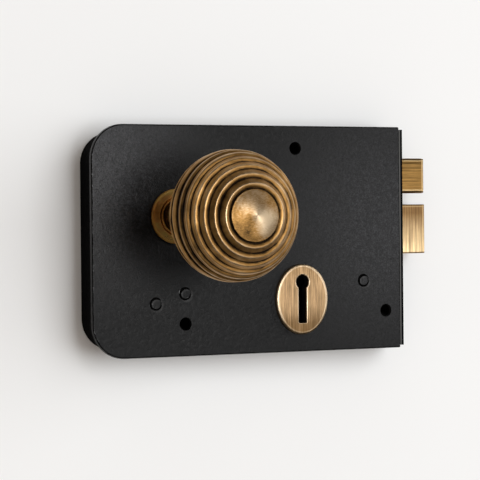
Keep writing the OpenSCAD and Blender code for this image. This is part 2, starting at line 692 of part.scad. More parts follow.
// Window in a lever: two pockets under a tooth that hangs from the top edge
module lever_window() difference() {
    block_2d([stump[0] - travel - stump_r - tooth_play, stump[1] - stump_r - stump_lift],
        [stump[0] + stump_r + window_gap, stump[1] + stump_r + window_gap]);
    block_2d([stump[0] - stump_r - tooth_play - tooth_w, stump[1] + stump_r - tooth_bite],
        [stump[0] - stump_r - tooth_play, stump[1] + stump_r + window_gap + cut]);
}

window_top_w = 3;                             // metal over a lever's window
window_side_w = 4;                            // metal beside it
lever_top = stump[1] + stump_r + window_gap + window_top_w;
lever_right = stump[0] + stump_r + window_gap + window_side_w;
lever_crest_x = 52;                           // where a lever's top edge starts
lever_neck = [44, -6];
lever_elbow = [25.6, 11.7];                   // corner of the arm's upper edge, from the pivot
lever_heel_x = 30;                            // corner of the arm's lower edge, from the pivot
toe_reach = 3.8;                              // how far the toe passes the stop post's middle
eye_blend = [-2, 0.5];                        // where the arm's edges start inside the eye
belly_w = 10;
module lever_arm() difference() {
    toe_right = lever_stop[0] + toe_reach;
    polygon([lever_pivot + [eye_blend[0], lever_eye_r - eye_blend[1]], lever_pivot + lever_elbow,
        lever_neck, [lever_crest_x, lever_top],
        [lever_right, lever_top], [lever_right, toe_z + toe_h], [toe_right, toe_z + toe_h],
        [toe_right, toe_z], [key_x + key_sweep_r - 2 * seat_gap - toe_h, toe_z],
        [key_x - key_sweep_r - window_gap, key[1] - seat_gap], lever_pivot + [lever_heel_x, 0],
        lever_pivot + [eye_blend[0], eye_blend[1] - lever_eye_r]]);
    difference() {
        translate(key) circle(key_sweep_r);
        // the belly that the key's bit lifts
        translate(key + [-belly_w / 2, belly_r]) square([belly_w, key_sweep_r - belly_r + cut]);
    }
}
module lever(y0, y1) difference() {
    union() {
        bar_y(lever_pivot, lever_eye_r, y0, y1);
        slab(y0, y1) lever_arm();
    }
    bar_y(lever_pivot, post_r + run_gap, y0 - cut, y1 + cut);
    slab(y0 - cut, y1 + cut) lever_window();
}
module rear_lever() color([0.74, 0.64, 0.4]) lever(rear_lever_front, rear_lever_back);
module front_lever() color([0.74, 0.64, 0.4]) lever(front_lever_front, front_lever_back);

// A wire spring coiled round its post, with one leg on the case's floor and one on the lever
wire_r = 0.3;
coil_gap = 0.15;                              // from the post to the coil
coil_r = post_r + wire_r + coil_gap;
coil_pitch = 2 * wire_r + seat_gap;
coil_step = 15;
coil_exit = 130;                              // angle at which the wire leaves the coil for the lever
coil_sweep = 180 - coil_exit + 2 * 360;
leg_bend = lever_pivot + [-lever_eye_r, lever_eye_r + 1.6];
leg_reach = 17.6;                             // where the wire rests on the arm, from the pivot
arm_edge = lever_elbow - [eye_blend[0], lever_eye_r - eye_blend[1]];
arm_z = lever_elbow[1] + (leg_reach - lever_elbow[0]) * arm_edge[1] / arm_edge[0];
leg_end = lever_pivot + [leg_reach, arm_z + (wire_r + seat_gap) * norm(arm_edge) / arm_edge[0]];

// The wire's middle line as [x, z, share of the coil passed]
spring_path = concat(
    [[lever_spring_at[0] - coil_r, z_in_low + seat_gap, 0]],
    [for (a = [0:coil_step:coil_sweep - 1]) let (p = lever_spring_at + coil_r * [cos(180 - a), sin(180 - a)])
        [p[0], p[1], a / coil_sweep]],
    [let (p = lever_spring_at + coil_r * [cos(coil_exit), sin(coil_exit)]) [p[0], p[1], 1]],
    [[leg_bend[0], leg_bend[1], 1], [leg_end[0], leg_end[1], 1]]);

module lever_spring(y, sides = 8) {
    n = len(spring_path) - 1;
    y0 = y - coil_pitch * coil_sweep / 720;
    function unit(d) = [d[0], d[1]] / norm([d[0], d[1]]);
    function along(i) = unit(spring_path[min(i + 1, n)] - spring_path[max(i - 1, 0)]);
    function ring_point(i, j) =
        let (p = spring_path[i], t = along(i), b = 360 * j / sides, u = wire_r * cos(b))
        [p[0] - t[1] * u, y0 + coil_pitch * coil_sweep / 360 * p[2] + wire_r * sin(b), p[1] + t[0] * u];
    color([0.7, 0.7, 0.68]) tube([for (i = [0:n]) for (j = [0:sides - 1]) ring_point(i, j)], n, sides);
}
module rear_lever_spring() lever_spring((rear_lever_front + rear_lever_back) / 2);
module front_lever_spring() lever_spring((front_lever_front + front_lever_back) / 2);

cover_plate();
case_band();
back_plate();
forend();
forend_screws();
fixing_sleeves();
lever_pivot_post();
lever_spring_post();
lever_stop_post();
bolt_guide_post();
latch_guide();
latch_guide_rivets();
escutcheon();
rose();
knob();
knob_neck();
knob_grub_screw();
spindle();
follower();
latch_bolt();
latch_tail();
latch_tail_rivets();
latch_spring_rod();
latch_spring();
dead_bolt();
dead_bolt_tail();
dead_bolt_rivets();
bolt_stump();
front_lever();
rear_lever();
front_lever_spring();
rear_lever_spring();
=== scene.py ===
import json
import math

import bmesh
import bpy
from bpy.props import FloatProperty, FloatVectorProperty, IntProperty, PointerProperty
from bpy.types import Operator, Panel, PropertyGroup
from mathutils import Matrix, Vector


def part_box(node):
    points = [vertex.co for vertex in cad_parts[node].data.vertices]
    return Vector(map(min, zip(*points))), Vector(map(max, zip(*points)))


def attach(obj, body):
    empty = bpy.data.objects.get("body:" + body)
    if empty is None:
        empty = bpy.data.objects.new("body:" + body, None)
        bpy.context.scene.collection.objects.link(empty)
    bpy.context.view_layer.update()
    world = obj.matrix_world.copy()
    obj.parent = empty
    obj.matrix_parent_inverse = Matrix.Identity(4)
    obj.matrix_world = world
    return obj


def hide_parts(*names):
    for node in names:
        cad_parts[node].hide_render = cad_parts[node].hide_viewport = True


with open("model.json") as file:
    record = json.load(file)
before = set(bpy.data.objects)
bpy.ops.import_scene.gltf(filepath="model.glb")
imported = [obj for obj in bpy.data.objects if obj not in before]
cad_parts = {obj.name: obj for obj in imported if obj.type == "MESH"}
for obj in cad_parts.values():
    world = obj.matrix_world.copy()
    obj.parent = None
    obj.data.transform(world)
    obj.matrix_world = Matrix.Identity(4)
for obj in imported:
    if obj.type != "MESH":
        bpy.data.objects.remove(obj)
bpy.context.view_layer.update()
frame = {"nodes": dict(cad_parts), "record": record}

bl_info = {
    "name": "Rim lock with beehive knob",
    "version": (1, 0, 0),
    "blender": (4, 5, 0),
    "location": "3D View > Sidebar > Rim Lock",
    "description": "Dresses a rim lock: reeded knob, rose, escutcheon, finishes, wall and lamps",
    "category": "Add Mesh",
}

MM = 0.001
POSTS = ["lever_pivot_post", "lever_spring_post", "lever_stop_post"]
COVER_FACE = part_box("cover_plate")[0].y
KNOB_LOW, KNOB_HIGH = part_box("knob")
ROSE_LOW, ROSE_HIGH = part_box("rose")
ESCUTCHEON_LOW, ESCUTCHEON_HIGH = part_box("escutcheon")
# Middles of the cover plate's two patches of painted sheen, and of the knob's shadow, where that sheen is
# left out
SHEEN_CORNER = (-0.052, COVER_FACE, 0.022)
SHEEN_FOREND_SIDE = (0.108, COVER_FACE, -0.004)
KNOB_LEE = (-0.001, COVER_FACE, -0.002)
# Painted highlights and painted shade, in millimetres: across, behind the front, up, reach; then how much,
# brighter above nought and darker below
BUTTON_LIGHT_AND_SHADE = (
    (4.5, 1.25, -2.8, 8.5, 0.60),
    (-3.5, 1.25, 4.0, 7.0, 0.24),
    (-4.0, 1.25, -6.0, 8.0, -0.16),
    (0.5, 2.25, 8.5, 7.5, 0.22),
    (0.8, 0.25, 0.2, 4.5, 0.30),
    (6.0, 1.75, 1.0, 6.0, 0.20),
)
ROSE_LIGHT_AND_SHADE = (
    (-6.0, 0.0, -15.0, 10.0, 0.55),
    (-4.0, 0.0, 16.0, 8.0, 0.30),
    (-13.0, 0.0, 2.0, 11.0, -0.50),
)
CAMERA_PLACE = (-0.39045, -0.84290, 0.00008)
DOME_STEPS = 14
ROUNDING_STEPS = 5
# One reed from groove to groove: share of its angle, share of its height, and how bright it is rubbed
REED = (
    (0.000, -0.30, 0.00),
    (0.035, -0.27, 0.00),
    (0.070, -0.08, 0.05),
    (0.120, 0.20, 0.20),
    (0.180, 0.47, 0.30),
    (0.240, 0.69, 0.38),
    (0.300, 0.86, 0.48),
    (0.345, 0.95, 0.60),
    (0.385, 1.00, 0.76),
    (0.420, 0.99, 0.74),
    (0.455, 0.95, 0.46),
    (0.520, 0.88, 0.38),
    (0.620, 0.77, 0.37),
    (0.720, 0.66, 0.35),
    (0.810, 0.54, 0.30),
    (0.880, 0.36, 0.18),
    (0.930, 0.05, 0.04),
    (0.965, -0.22, 0.00),
)


def length(name, description, default):
    """A size that shows in the sidebar, held in metres and written here in millimetres."""
    return FloatProperty(
        name=name,
        description=description,
        default=default * MM,
        min=0.0,
        max=100 * MM,
        precision=5,
        unit="LENGTH",
        subtype="DISTANCE",
    )


def turn(name, description, default):
    """An angle that shows in the sidebar, written here in degrees."""
    return FloatProperty(
        name=name,
        description=description,
        default=math.radians(default),
        subtype="ANGLE",
        unit="ROTATION",
    )


def count(name, description, default, least):
    """A whole number that shows in the sidebar."""
    return IntProperty(name=name, description=description, default=default, min=least)


def colour(name, description, default):
    """A linear colour that shows in the sidebar."""
    return FloatVectorProperty(
        name=name,
        description=description,
        default=default,
        min=0.0,
        max=1.0,
        size=3,
        subtype="COLOR",
    )


def plain_number(name, description, default, high):
    """A plain number from nought upwards."""
    return FloatProperty(name=name, description=description, default=default, min=0.0, max=high)


# ---------- sizes and colours ----------


class KnobSizes(PropertyGroup):
    """Sizes of the reeded knob, measured along and out from the spindle."""

    groove_radius: length("Radius at the grooves", "Knob's radius at the bottom of its widest groove", 26.2)
    middle: length("Widest place", "Knob's widest place, in front of the cover plate", 56.6)
    band: length("Plain band", "Straight part between the front and rear ovals", 2.0)
    front_depth: length("Front depth", "Depth of the front oval", 19.3)
    rear_depth: length("Rear depth", "Depth of the rear oval", 19.0)
    reed_height: length("Reed height", "How far a reed stands above its grooves", 0.9)
    reeds: count("Reeds", "How many reeds go round the knob", 12, 6)
    first_reed: turn("First reed", "Where the reeds start, from the knob's axis", 25.1)
    reed_step: turn("Reed step", "Angle that one reed takes up", 10.3)
    button_radius: length("Button radius", "Radius of the domed button at the knob's front", 10.8)
    button_step: length("Button step", "Button's edge above the first reed's grooves", 0.9)
    button_dome: length("Button dome", "Rise of the button's dome", 2.0)
    groove_depth: length("Groove depth", "Depth of the groove round the button", 2.4)
    back_flat: length("Back flat", "Radius of the flat at the knob's back, where the neck goes in", 9.0)
    steps_round: count("Steps round", "Steps round the turned pieces", 176, 48)


class PlateSizes(PropertyGroup):
    """Sizes of the escutcheon and the rose."""

    keyhole_radius: length("Keyhole radius", "Radius of the keyhole's round top", 3.05)
    slot_width: length("Slot width", "Width of the keyhole's slot", 3.7)
    slot_reach: length("Slot reach", "From the key's axis to the slot's foot", 17.8)
    slot_corner: length("Slot corner", "Rounding of the two corners at the slot's foot", 0.5)
    key_height: length("Key axis", "Key's axis above the middle of the escutcheon", 7.6)
    edge_round: length("Edge rounding", "Rounding of the escutcheon's front edge", 0.75)
    keyhole_chamfer: length("Keyhole chamfer", "Chamfer all round the keyhole", 0.42)
    rose_bore: length("Rose bore", "Radius of the bore that the knob's neck turns in", 7.3)
    rose_edge: length("Rose edge", "Height of the rose's straight edge", 0.55)
    rose_step: length("Rose step", "Where the flange ends and the small groove starts", 8.7)


class Finishes(PropertyGroup):
    """Colours of the finishes, as linear colours."""

    powder: colour("Powder coat", "Black satin powder coat on the case", (0.0025, 0.0025, 0.0027))
    brass_dark: colour("Brass, darkest", "Patina left in the grooves", (0.016, 0.010, 0.006))
    brass_brown: colour("Brass, brown", "Aged brass on the plain faces", (0.315, 0.170, 0.052))
    brass_gold: colour("Brass, rubbed", "Brass rubbed bright on the crests", (0.72, 0.56, 0.37))
    plate_brass: colour("Escutcheon brass", "Pale aged brass of the escutcheon", (0.43, 0.28, 0.145))
    bolt_brass: colour("Bolt brass", "Golden brass of the two bolts", (0.88, 0.62, 0.31))
    lever_brass: colour("Lever brass", "Stamped brass of levers and follower", (0.66, 0.51, 0.24))
    zinc: colour("Zinc plate", "Zinc plated steel inside the case", (0.52, 0.53, 0.53))
    blackened: colour("Blackened steel", "Oiled black steel", (0.045, 0.043, 0.042))
    wall: colour("Wall", "Painted wall behind the lock", (0.90, 0.90, 0.90))


class StageSizes(PropertyGroup):
    """Camera, lamps and wall."""

    lens: FloatProperty(name="Lens", description="Camera lens in millimetres", default=159.65, min=20.0)
    azimuth: turn("Azimuth", "How far round to the right the camera looks", 26.97)
    elevation: turn("Elevation", "How far up the camera looks", -0.66)
    roll: turn("Roll", "How far the camera is rolled", -0.539)
    key_power: plain_number("Key lamp", "Power of the lamp straight in front of the lock", 13.5, 200.0)
    side_power: plain_number("Side lamp", "Power of the lamp at the far right", 20.0, 200.0)
    wall_power: plain_number("Wall lamp", "Power of the broad lamp for the wall's soft shadow", 132.0, 400.0)
    rear_power: plain_number("Rear lamp", "Power of the lamp behind the wall", 12.0, 200.0)
    world_level: plain_number("Room light", "Level of the light from all round on matt paint", 0.41, 3.0)
    gloss_level: plain_number("Room in reflections", "Level of the room that shiny parts reflect", 0.03, 3.0)


# ---------- making meshes ----------


def finished_mesh(name, bm, sharp_angle):
    """Turns a bmesh into an object with smooth faces and sharp edges where it bends hard."""
    bmesh.ops.recalc_face_normals(bm, faces=bm.faces)
    mesh = bpy.data.meshes.new(name)
    bm.to_mesh(mesh)
    bm.free()
    mesh.polygons.foreach_set("use_smooth", [True] * len(mesh.polygons))
    mesh.set_sharp_from_angle(angle=math.radians(sharp_angle))
    mesh.update()
    piece = bpy.data.objects.new(name, mesh)
    bpy.context.scene.collection.objects.link(piece)
    return piece


def turned(name, profile, steps, closed=False, sharp_angle=50.0):
    """Turns a profile of (radius, distance in front of the cover plate, rub) round the spindle.

    Rub says how bright the brass is worn there, from 0 in a groove to 1 on a crest.
    """
    bm = bmesh.new()
    rub_layer = bm.verts.layers.float.new("rub")
    rings = []
    for radius, ahead, rub in profile:
        corners = 1 if radius < 1e-7 else steps
        ring = []
        for k in range(corners):
            angle = 2 * math.pi * k / steps
            vert = bm.verts.new((radius * math.cos(angle), COVER_FACE - ahead, radius * math.sin(angle)))
            vert[rub_layer] = rub
            ring.append(vert)
        rings.append(ring)
    pairs = list(zip(rings, rings[1:]))
    if closed:
        pairs.append((rings[-1], rings[0]))
    for a, b in pairs:
        for k in range(steps):
            n = (k + 1) % steps
            if len(a) == 1:
                bm.faces.new((a[0], b[k], b[n]))
            elif len(b) == 1:
                bm.faces.new((a[k], a[n], b[0]))
            else:
                bm.faces.new((a[k], a[n], b[n], b[k]))
    return finished_mesh(name, bm, sharp_angle)


def knob_profile(sizes):
    """The knob from the middle of its button, over the reeds, to the flat that meets the neck."""

    def oval(psi):
        """Where the grooves' oval lies at an angle from the knob's axis, and which way is out."""
        front = psi < math.pi / 2
        middle = sizes.middle if front else sizes.middle - sizes.band
        depth = sizes.front_depth if front else sizes.rear_depth
        point = Vector((sizes.groove_radius * math.sin(psi), middle + depth * math.cos(psi)))
        normal = Vector((math.sin(psi) / sizes.groove_radius, math.cos(psi) / depth)).normalized()
        return point, normal

    button_angle = math.asin(sizes.button_radius / sizes.groove_radius)
    edge = sizes.middle + sizes.front_depth * math.cos(button_angle) + sizes.button_step - sizes.reed_height
    dome_radius = (sizes.button_radius**2 + sizes.button_dome**2) / (2 * sizes.button_dome)
    rounding = 0.4 * MM
    points = []
    for k in range(DOME_STEPS + 1):
        radius = (sizes.button_radius - rounding) * k / DOME_STEPS
        ahead = edge + sizes.button_dome - dome_radius + math.sqrt(dome_radius**2 - radius**2)
        points.append((radius, ahead, 0.60))
    low = points[-1][1]
    for k in range(1, ROUNDING_STEPS + 1):
        angle = math.pi / 2 * k / ROUNDING_STEPS
        points.append((
            sizes.button_radius - rounding + rounding * math.sin(angle),
            low - rounding + rounding * math.cos(angle),
            0.55 - 0.10 * k,
        ))
    floor = edge - sizes.groove_depth
    points.append((sizes.button_radius, floor + 0.5 * MM, 0.0))
    points.append((sizes.button_radius + 0.08 * MM, floor + 0.12 * MM, 0.0))
    first, _ = oval(sizes.first_reed)
    points.append((first.x - 0.1 * MM, floor + 0.1 * MM, 0.0))
    for reed in range(sizes.reeds):
        for along, rise, rub in REED:
            point, normal = oval(sizes.first_reed + (reed + along) * sizes.reed_step)
            surface = point + normal * sizes.reed_height * rise
            points.append((surface.x, surface.y, rub))
    last, _ = oval(sizes.first_reed + sizes.reeds * sizes.reed_step)
    back = COVER_FACE - KNOB_HIGH.y
    back_rounding = 0.6 * MM
    points.append((last.x, last.y, 0.1))
    points.append((sizes.back_flat + back_rounding, back + back_rounding, 0.35))
    points.append((sizes.back_flat, back, 0.35))
    points.append((0.0, back, 0.2))
    return points


def rose_profile(sizes):
    """The rose's ring: straight edge, flared flange, small groove and a lip round the bore."""
    outer = ROSE_HIGH.x
    height = COVER_FACE - ROSE_LOW.y
    edge = sizes.rose_edge
    rounding = 0.5 * MM
    lip_drop = 0.55 * MM
    points = [(outer, 0.0, 0.2), (outer, edge * 0.6, 0.4)]
    for k in range(7):
        angle = math.radians(15 * k)
        points.append((
            outer - rounding + rounding * math.cos(angle),
            edge + rounding * math.sin(angle),
            0.55 + 0.4 * math.sin(angle * 1.4),
        ))
    rim = outer - rounding - 0.05 * MM
    for k in range(1, 11):
        t = k / 10
        points.append((
            rim + (sizes.rose_step - rim) * t,
            edge + rounding + (height - lip_drop - rounding - edge) * (0.35 * t + 0.65 * t * t),
            0.82 - 0.35 * t,
        ))
    flange = points[-1][1]
    # The small groove, as steps in from the flange and down from its top
    for inwards, down in ((0.15, 0.25), (0.40, 0.30), (0.62, 0.10)):
        points.append((sizes.rose_step - inwards * MM, flange - down * MM, 0.0))
    # The lip, as steps out from the bore and down from the rose's front
    for outwards, down, rub in ((0.62, 0.20, 0.42), (0.42, 0.0, 0.5), (0.12, 0.0, 0.35), (0.0, 0.12, 0.1)):
        points.append((sizes.rose_bore + outwards * MM, height - down * MM, rub))
    points.append((sizes.rose_bore, 0.0, 0.0))
    return points


def keyhole_outline(sizes, grow):
    """The keyhole's outline as (across, up from the key's axis), grown by an even margin."""
    radius = sizes.keyhole_radius + grow
    half = sizes.slot_width / 2 + grow
    foot = -sizes.slot_reach - grow
    corner = sizes.slot_corner + grow * 0.6
    start = math.asin(half / radius)
    arc_steps = 44
    points = []
    for k in range(arc_steps + 1):
        angle = -math.pi / 2 + start + (2 * math.pi - 2 * start) * k / arc_steps
        points.append((radius * math.cos(angle), radius * math.sin(angle)))
    quarter = [math.radians(18 * k) for k in range(6)]
    for angle in quarter:
        points.append((-half + corner - corner * math.cos(angle), foot + corner - corner * math.sin(angle)))
    for angle in reversed(quarter):
        points.append((half - corner + corner * math.cos(angle), foot + corner - corner * math.sin(angle)))
    return points


def escutcheon_mesh(sizes):
    """The oval plate with a rounded front edge and a keyhole chamfered all the way round."""
    centre = (ESCUTCHEON_LOW + ESCUTCHEON_HIGH) / 2
    half_wide = (ESCUTCHEON_HIGH.x - ESCUTCHEON_LOW.x) / 2
    half_high = (ESCUTCHEON_HIGH.z - ESCUTCHEON_LOW.z) / 2
    front = ESCUTCHEON_LOW.y
    back = COVER_FACE
    edge = sizes.edge_round
    chamfer = sizes.keyhole_chamfer
    oval_steps = 144
    round_steps = 7
    bm = bmesh.new()
    rub_layer = bm.verts.layers.float.new("rub")

    def ring_at(outline, y, rub):
        """One ring of corners, with a rub value that the finish turns into a painted highlight where high and
        darker brass where low.
        """
        ring = []
        for x, z in outline:
            vert = bm.verts.new((x, y, z))
            vert[rub_layer] = rub
            ring.append(vert)
        return ring

    def oval(inset, y, rub):
        """The plate's outline, moved inwards."""
        outline = []
        for k in range(oval_steps):
            angle = 2 * math.pi * k / oval_steps
            across = (half_wide - inset) * math.cos(angle)
            up = (half_high - inset) * math.sin(angle)
            outline.append((centre.x + across, centre.z + up))
        return ring_at(outline, y, rub)

    def keyhole(grow, y, rub):
        """The keyhole's outline, grown outwards."""
        key_z = centre.z + sizes.key_height
        outline = [(centre.x + across, key_z + up) for across, up in keyhole_outline(sizes, grow)]
        return ring_at(outline, y, rub)

    def bridge(rings):
        """Faces from each ring to the next."""
        for a, b in zip(rings, rings[1:]):
            for k in range(len(a)):
                n = (k + 1) % len(a)
                bm.faces.new((a[k], a[n], b[n], b[k]))

    def fill_between(*rings):
        """A flat face from the plate's outline to the keyhole's."""
        edges = [bm.edges.get((ring[k - 1], ring[k])) for ring in rings for k in range(len(ring))]
        bmesh.ops.triangle_fill(bm, use_beauty=True, edges=edges)

    # Rub values paint a highlight line on the front edge's rounding and just inside it, and on the keyhole's
    # chamfer; the edge's back and the keyhole's bore go darker
    outer = [oval(0.0, back, 0.3), oval(0.0, front + edge + 0.1 * MM, 0.6)]
    for k in range(1, round_steps + 1):
        angle = math.pi / 2 * k / round_steps
        rub = 0.6 + 0.4 * max(0.0, math.sin(2 * angle)) ** 0.5
        outer.append(oval(edge * (1 - math.cos(angle)), front + edge * (1 - math.sin(angle)), rub))
    outer.append(oval(edge + 0.15 * MM, front, 1.0))
    outer.append(oval(edge + 0.75 * MM, front, 0.5))
    inner = [
        keyhole(chamfer + 0.35 * MM, front, 0.5),
        keyhole(chamfer + 0.08 * MM, front, 0.9),
        keyhole(chamfer, front + 0.02 * MM, 1.0),
        keyhole(chamfer * 0.5, front + chamfer * 0.4, 1.0),
        keyhole(0.0, front + chamfer, 0.2),
        keyhole(0.0, back, 0.0),
    ]
    bridge(outer)
    bridge(inner)
    fill_between(outer[-1], inner[0])
    fill_between(outer[0], inner[-1])
    return finished_mesh("escutcheon_plate", bm, 40.0)


# ---------- making finishes ----------


def add(tree, kind, inputs=None, **settings):
    """Adds a shader node. Each input is a value or another node's socket."""
    node = tree.nodes.new(kind)
    for name, value in settings.items():
        setattr(node, name, value)
    for name, value in (inputs or {}).items():
        if isinstance(value, bpy.types.NodeSocket):
            tree.links.new(value, node.inputs[name])
        else:
            node.inputs[name].default_value = value
    return node


def new_finish(name):
    """A material with its surface shader ready to be fed."""
    material = bpy.data.materials.new(name)
    material.use_nodes = True
    tree = material.node_tree
    tree.nodes.clear()
    surface = add(tree, "ShaderNodeBsdfPrincipled")
    add(tree, "ShaderNodeOutputMaterial", {"Surface": surface.outputs["BSDF"]})
    return material, tree, surface


def place(tree, stretch=(1.0, 1.0, 1.0)):
    """Where a point lies on the part, in metres, stretched along the lock's own axes."""
    where = add(tree, "ShaderNodeTexCoord").outputs["Object"]
    return add(tree, "ShaderNodeMapping", {"Vector": where, "Scale": stretch}).outputs["Vector"]


def turned_place(tree, along, around):
    """Where a point lies round the spindle: fine along the profile, long round the axis."""
    where = add(tree, "ShaderNodeTexCoord").outputs["Object"]
    split = add(tree, "ShaderNodeSeparateXYZ", {"Vector": where})
    x, y, z = (split.outputs[k] for k in "XYZ")
    flat = add(tree, "ShaderNodeCombineXYZ", {"X": x, "Z": z}).outputs["Vector"]
    radius = add(tree, "ShaderNodeVectorMath", {0: flat}, operation="LENGTH").outputs["Value"]
    round_x = times(tree, maths(tree, "DIVIDE", x, radius), around)
    round_z = times(tree, maths(tree, "DIVIDE", z, radius), around)
    fine = times(tree, maths(tree, "SUBTRACT", radius, y), along)
    return add(tree, "ShaderNodeCombineXYZ", {"X": round_x, "Y": fine, "Z": round_z}).outputs["Vector"]


def shifted_place(tree, shift):
    """Where a point lies, moved so that two finishes don't share one pattern."""
    return add(tree, "ShaderNodeVectorMath", {0: place(tree), 1: shift}, operation="ADD").outputs[0]


def along_axis(tree, where, axis):
    """One of a point's three distances."""
    return add(tree, "ShaderNodeSeparateXYZ", {"Vector": where}).outputs[axis]


def grain(tree, vector, scale, detail=2.0, roughness=0.5):
    """A noise value from 0 to 1."""
    return add(tree, "ShaderNodeTexNoise", {
        "Vector": vector, "Scale": scale, "Detail": detail, "Roughness": roughness,
    }).outputs["Fac"]


def spread(tree, value, low, high, new_low=0.0, new_high=1.0):
    """Maps a value from one range to another and holds it there."""
    return add(tree, "ShaderNodeMapRange", {
        "Value": value, "From Min": low, "From Max": high, "To Min": new_low, "To Max": new_high,
    }).outputs["Result"]


def mixed(tree, factor, first, second, blend="MIX"):
    """Mixes two colours."""
    node = add(tree, "ShaderNodeMix", data_type="RGBA", blend_type=blend)
    for socket, value in ((node.inputs[0], factor), (node.inputs[6], first), (node.inputs[7], second)):
        if isinstance(value, bpy.types.NodeSocket):
            tree.links.new(value, socket)
        elif isinstance(value, (int, float)):
            socket.default_value = value
        else:
            socket.default_value = (*value, 1.0)
    return node.outputs[2]


def maths(tree, operation, first, second=0.0):
    """Does one sum on two values, or on one."""
    return add(tree, "ShaderNodeMath", {0: first, 1: second}, operation=operation).outputs[0]


def plus(tree, first, second):
    """Adds two values."""
    return maths(tree, "ADD", first, second)


def times(tree, first, second):
    """Multiplies two values."""
    return maths(tree, "MULTIPLY", first, second)


def mixed_value(tree, factor, first, second):
    """Goes from the first value to the second."""
    return plus(tree, first, times(tree, factor, maths(tree, "SUBTRACT", second, first)))


def even(value):
    """The same value three times: a grey, or the same stretch along all three axes."""
    return (value, value, value)


def shaded(base, by):
    """A colour made darker or lighter, held at white."""
    return [min(1.0, c * by) for c in base]


def tinted(base, tint):
    """A colour with its red, green and blue changed apart."""
    return [c * k for c, k in zip(base, tint)]


def feed(tree, surface, **inputs):
    """Links sockets to the surface shader; Base_Color stands for its Base Color."""
    for name, socket in inputs.items():
        tree.links.new(socket, surface.inputs[name.replace("_", " ")])


def bumped(tree, surface, heights):
    """Stacks bumps: each is (height, strength, depth in metres)."""
    normal = None
    for height, strength, depth in heights:
        inputs = {"Height": height, "Strength": strength, "Distance": depth}
        if normal is not None:
            inputs["Normal"] = normal
        normal = add(tree, "ShaderNodeBump", inputs).outputs["Normal"]
    feed(tree, surface, Normal=normal)


def distance(tree, where, point):
    """How far a place is from a point."""
    return add(tree, "ShaderNodeVectorMath", {0: where, 1: point}, operation="DISTANCE").outputs["Value"]


def near(tree, where, point, reach):
    """Goes from 1 at a point of the part to 0 at a reach from it."""
    away = distance(tree, where, point)
    return add(tree, "ShaderNodeMapRange", {
        "Value": away, "From Min": 0.0, "From Max": reach, "To Min": 1.0, "To Max": 0.0,
    }, interpolation_type="SMOOTHSTEP").outputs["Result"]


def paint_light_and_shade_at(tree, worn, where, front, spots):
    """Adds painted highlights and painted shade to the wear round some points: each is (across, behind the
    front, up, reach, how much).
    """
    for across, behind, up, reach, amount in spots:
        spot = near(tree, where, (across * MM, front + behind * MM, up * MM), reach * MM)
        worn = plus(tree, worn, times(tree, spot, amount))
    return worn


def thin_line(tree, value, middle, half):
    """Is 1 where a value is at its middle and 0 where it is half a line's width away."""
    off = maths(tree, "ABSOLUTE", maths(tree, "SUBTRACT", value, middle))
    return spread(tree, off, half * 0.4, half, 1.0, 0.0)


def front_facing(tree):
    """Is 1 where the surface faces the room and 0 where it faces sideways."""
    normal = add(tree, "ShaderNodeNewGeometry").outputs["Normal"]
    to_room = {0: normal, 1: (0.0, -1.0, 0.0)}
    return add(tree, "ShaderNodeVectorMath", to_room, operation="DOT_PRODUCT").outputs["Value"]


def brass_ramp(tree, worn, stops):
    """Turns wear from 0 to 1 into a colour: stops are (wear, colour), from dark to bright."""
    ramp = add(tree, "ShaderNodeValToRGB", {"Fac": worn})
    elements = ramp.color_ramp.elements
    elements[0].position, elements[0].color = stops[0][0], (*stops[0][1], 1.0)
    elements[1].position, elements[1].color = stops[-1][0], (*stops[-1][1], 1.0)
    for position, shade in stops[1:-1]:
        elements.new(position).color = (*shade, 1.0)
    return ramp.outputs["Color"]


def painted_sheen(tree, where, base, tone, rough):
    """Paints a paler sheen on the coat near one corner and near the forend, but not in the knob's shadow."""
    corner = near(tree, where, SHEEN_CORNER, 78 * MM)
    forend_side = near(tree, where, SHEEN_FOREND_SIDE, 78 * MM)
    lee = near(tree, where, KNOB_LEE, 37 * MM)
    rough = plus(tree, rough, times(tree, corner, -0.10))
    corner = times(tree, corner, maths(tree, "SUBTRACT", 1.0, lee))
    sheen_amount = plus(tree, times(tree, corner, 1.2), times(tree, forend_side, 0.65))
    return mixed(tree, sheen_amount, tone, [c * 13.0 for c in base]), rough


def ringed(tree, where, post, shift):
    """Is 1 on a ring round a post's riveted end, moved a little along and down."""
    low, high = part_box(post)
    middle = (low + high) / 2
    away = distance(tree, where, (middle.x + shift, COVER_FACE, middle.z - shift))
    return thin_line(tree, away, (high.x - low.x) / 2, 0.70 * MM)


